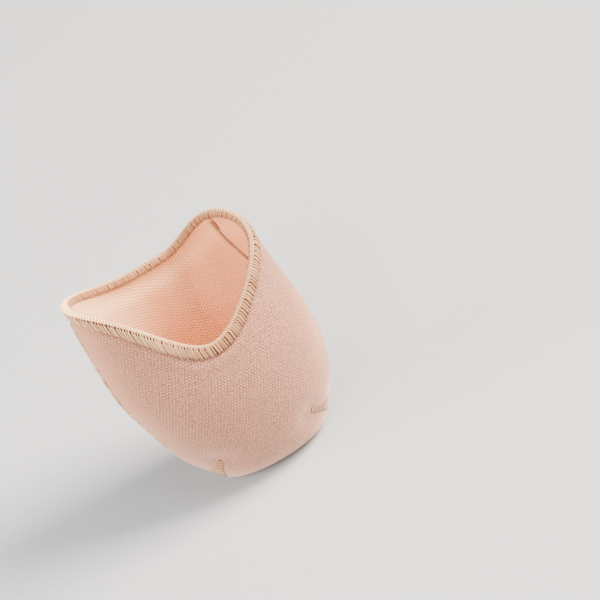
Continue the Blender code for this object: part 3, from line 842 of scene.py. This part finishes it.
fine_places = np.linspace(-SEAM_END, SEAM_END, 1601)
seam_run = run_length(seam_point(fine_places, 0.0, 0.0)[None], 1)[0]
seam_stitches = int(round(seam_run[-1] / SEAM_PITCH))
seam_places = np.interp(np.linspace(0.0, seam_run[-1], seam_stitches), seam_run, fine_places)
lift = smooth_step((np.abs(seam_places) - TOE_END) / LIFT_FADE)
under_rim = smooth_step((np.abs(seam_places) - SINK_START) / SINK_FADE)
seam_paths = []
for share, out in SEAM_COURSE:
    height = out * lift - TOE_SINK * (1 - lift) - SINK_DEPTH * under_rim
    leaning = np.clip(seam_places + SEAM_LEAN * share * lift, -SEAM_LIMIT, SEAM_LIMIT)
    seam_paths.append(seam_point(leaning, share * SEAM_WIDTH / 2, height))
seam_paths = np.stack(seam_paths, axis=1)
nudge = 1e-3
way = seam_point(seam_places + nudge, 0.0, 0.0) - seam_point(seam_places - nudge, 0.0, 0.0)
half_width = SEAM_HALF_THREAD * chance.uniform(0.9, 1.08, seam_stitches)[:, None]
seam_loops = add_threads(
    "seam_loops", seam_paths, way[:, None], half_width, SEAM_HALF_HEIGHT,
    chance.uniform(0.2, 0.65, seam_stitches), thread,
)
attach(seam_loops, "root")
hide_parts("toe_seam")


# The inner seam. Inside the pouch the same seam shows as a narrow row of whip stitches that
# closes the two linings over the join.
INNER_PITCH = 0.0009
INNER_HALF_SPAN = 0.0013
INNER_HALF_WIDTH = 0.00036
INNER_HALF_HEIGHT = 0.0003
INNER_LEAN = 0.002
INNER_COURSE = ((-1.0, -0.0002), (-0.5, 0.0004), (0.5, 0.0004), (1.0, -0.0002))
MOUTH_FADE = 0.12
inner_places = np.interp(np.arange(0.0, seam_run[-1], INNER_PITCH), seam_run, fine_places)
below_mouth = smooth_step((2.0 - np.abs(inner_places)) / MOUTH_FADE)
lining = GEL_EDGE_WALL + (GEL_WALL - GEL_EDGE_WALL) * below_mouth
inner_paths = []
for share, rise in INNER_COURSE:
    leaning = np.clip(inner_places + INNER_LEAN * share, -SEAM_LIMIT, SEAM_LIMIT)
    depth = KNIT_WALL + LAYER_GAP + lining + rise
    inner_paths.append(seam_point(leaning, share * INNER_HALF_SPAN, -depth))
inner_paths = np.stack(inner_paths, axis=1)
way = seam_point(inner_places + nudge, 0.0, 0.0) - seam_point(inner_places - nudge, 0.0, 0.0)
inner_seam = add_threads(
    "inner_seam", inner_paths, way[:, None], INNER_HALF_WIDTH, INNER_HALF_HEIGHT,
    chance.uniform(0.0, 0.25, len(inner_places)), thread,
)
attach(inner_seam, "root")


# The darts. At each corner of the toe a wedge of the knit is gathered shut by a short ladder of
# coarse thread stitches, longest near the seam, which lie over the groove that they draw in.
DART_PITCH = 0.0009
FIRST_RUNG, LAST_RUNG = 0.04, 0.98
TIP_START, TIP_FADE = 0.4, 0.15

# The course of one stitch: shares of its half length across the dart, and heights out of the
# knit. Towards the tip the stitches are shorter and thinner, and every other one is darker.
RUNG_COURSE = ((-1.1, -0.0003), (-0.9, 0.0003), (-0.4, 0.0002), (0.4, 0.0002), (0.9, 0.0003), (1.1, -0.0003))
RUNG_PAST_EDGE = 0.0008
RUNG_SHORTENING = 0.0004
RUNG_HALF_WIDTH = 0.00055
RUNG_THINNING = 0.00025
RUNG_HALF_HEIGHT = 0.0003
RUNG_PALE = 0.3
RUNG_ALTERNATE = 0.13
# Painted shade on the stitches' flanks
RUNG_FLANK_SHADE = 0.15


def across_dart(dart, share):
    """A step of one metre across a dart as turn and level, and the way along it."""
    nudge = 1e-4
    turn, level = dart_line(dart, share)
    by_turn = (plain_point(turn + nudge, level) - plain_point(turn - nudge, level)) / (2 * nudge)
    by_level = (plain_point(turn, level + nudge) - plain_point(turn, level - nudge)) / (2 * nudge)
    ahead_turn, ahead_level = dart_line(dart, share + 0.01)
    along = by_turn * (ahead_turn - turn) + by_level * (ahead_level - level)
    across = np.cross(along, np.cross(by_turn, by_level))
    across /= np.linalg.norm(across)
    return np.linalg.lstsq(np.stack([by_turn, by_level], -1), across, rcond=None)[0], along


for dart in DARTS:
    root, tip = (plain_point(*dart_line(dart, share)) for share in (0.0, 1.0))
    rungs = int(round(np.linalg.norm(tip - root) / DART_PITCH))
    shares = np.linspace(FIRST_RUNG, LAST_RUNG, rungs)
    at_tip = smooth_step((shares - TIP_START) / TIP_FADE)
    dart_paths, ways = [], []
    for share, tapered in zip(shares, at_tip):
        turn, level = dart_line(dart, share)
        (turn_step, level_step), along = across_dart(dart, share)
        half = dart_half_width(share) + RUNG_PAST_EDGE - RUNG_SHORTENING * tapered
        rung = []
        for x, out in RUNG_COURSE:
            rung.append(pad_point(turn + turn_step * half * x, level + level_step * half * x, -out))
        dart_paths.append(rung)
        ways.append([along] * len(rung))
    half_width = RUNG_HALF_WIDTH - RUNG_THINNING * at_tip[:, None]
    rung_shades = RUNG_PALE + RUNG_ALTERNATE * (-1.0) ** np.arange(rungs)[::-1] * at_tip
    ladder = add_threads(
        dart.name + "_ladder", dart_paths, np.array(ways), half_width, RUNG_HALF_HEIGHT,
        rung_shades, thread, flank_shade=RUNG_FLANK_SHADE,
    )
    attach(ladder, "root")
    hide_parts(dart.name)


# The floor, a wide matt sweep of pale grey card
bpy.ops.object.select_all(action="DESELECT")
bpy.ops.mesh.primitive_plane_add(size=6.0, location=(0.0, 0.0, 0.0))
floor = bpy.context.object
floor.name = "floor"
card, tree, shader = soft_material("pale_card", 0.95, 0.0)
shader.inputs["Base Color"].default_value = linear("#AFB4BA")
floor.data.materials.append(card)

# Soft studio light: a dim white room, a large warm soft box high on the right and a little in
# front, and four small ones, above, at the right, at the front left and at the left
LIT_PLACE = Vector((0.0, 0.0, 0.05))
world = bpy.data.worlds.new("white_room")
world.use_nodes = True
world.node_tree.nodes["Background"].inputs["Color"].default_value = linear("#FFFFFF")
world.node_tree.nodes["Background"].inputs["Strength"].default_value = 0.2
bpy.context.scene.world = world


def soft_box(name, place, size, power, colour):
    light = bpy.data.lights.new(name, "AREA")
    light.size = size
    light.energy = power
    light.color = linear(colour)[:3]
    box = bpy.data.objects.new(name, light)
    box.location = place
    box.rotation_euler = (LIT_PLACE - Vector(place)).to_track_quat("-Z", "Y").to_euler()
    bpy.context.scene.collection.objects.link(box)


soft_box("key", place=(2.23, -0.68, 2.33), size=1.5, power=560.0, colour="#FFF0E0")
soft_box("top", place=(0.2, -0.5, 1.8), size=0.9, power=22.0, colour="#FFFFFF")
soft_box("side", place=(1.5, -0.5, 0.5), size=0.9, power=12.0, colour="#FFF6EC")
soft_box("fill", place=(-0.9, -1.2, 1.2), size=0.9, power=40.0, colour="#FFF6EE")
soft_box("rim", place=(-1.5, -0.1, 0.7), size=0.8, power=34.0, colour="#FFF8F0")

# The camera, 0.76 m away and leaning as the photograph does. Its scale is the photograph's pixels
# for each metre at the pad, and the pad's middle lies at a place in it, from its top left.
CAMERA_DISTANCE = 0.764
CAMERA_TURN = math.radians(-7.9)
CAMERA_RISE = math.radians(35.0)
CAMERA_ROLL = math.radians(-26.2)
CAMERA_SCALE = 2820.0
PHOTO_SIZE = 600
SENSOR_WIDTH = 36.0
PAD_IN_PHOTO = (208.6, 370.6)
PAD_MIDDLE = 0.045
aim = Vector((-middle_of_box[0], -middle_of_box[1], PAD_MIDDLE))
ahead = Vector((
    -math.sin(CAMERA_TURN) * math.cos(CAMERA_RISE),
    math.cos(CAMERA_TURN) * math.cos(CAMERA_RISE),
    -math.sin(CAMERA_RISE),
))
camera = bpy.data.objects.new("camera", bpy.data.cameras.new("camera"))
camera.location = aim - ahead * CAMERA_DISTANCE
turned = ahead.to_track_quat("-Z", "Y") @ Quaternion((0, 0, 1), CAMERA_ROLL)
right, up = turned @ Vector((1, 0, 0)), turned @ Vector((0, 1, 0))
off_right = (PHOTO_SIZE / 2 - PAD_IN_PHOTO[0]) / CAMERA_SCALE
off_up = (PAD_IN_PHOTO[1] - PHOTO_SIZE / 2) / CAMERA_SCALE
look = (aim + right * off_right + up * off_up - camera.location).normalized()
camera.rotation_mode = "QUATERNION"
camera.rotation_quaternion = ahead.rotation_difference(look) @ turned
camera.data.lens = CAMERA_SCALE * CAMERA_DISTANCE / PHOTO_SIZE * SENSOR_WIDTH
camera.data.clip_end = 20.0
bpy.context.scene.collection.objects.link(camera)
bpy.context.scene.camera = camera
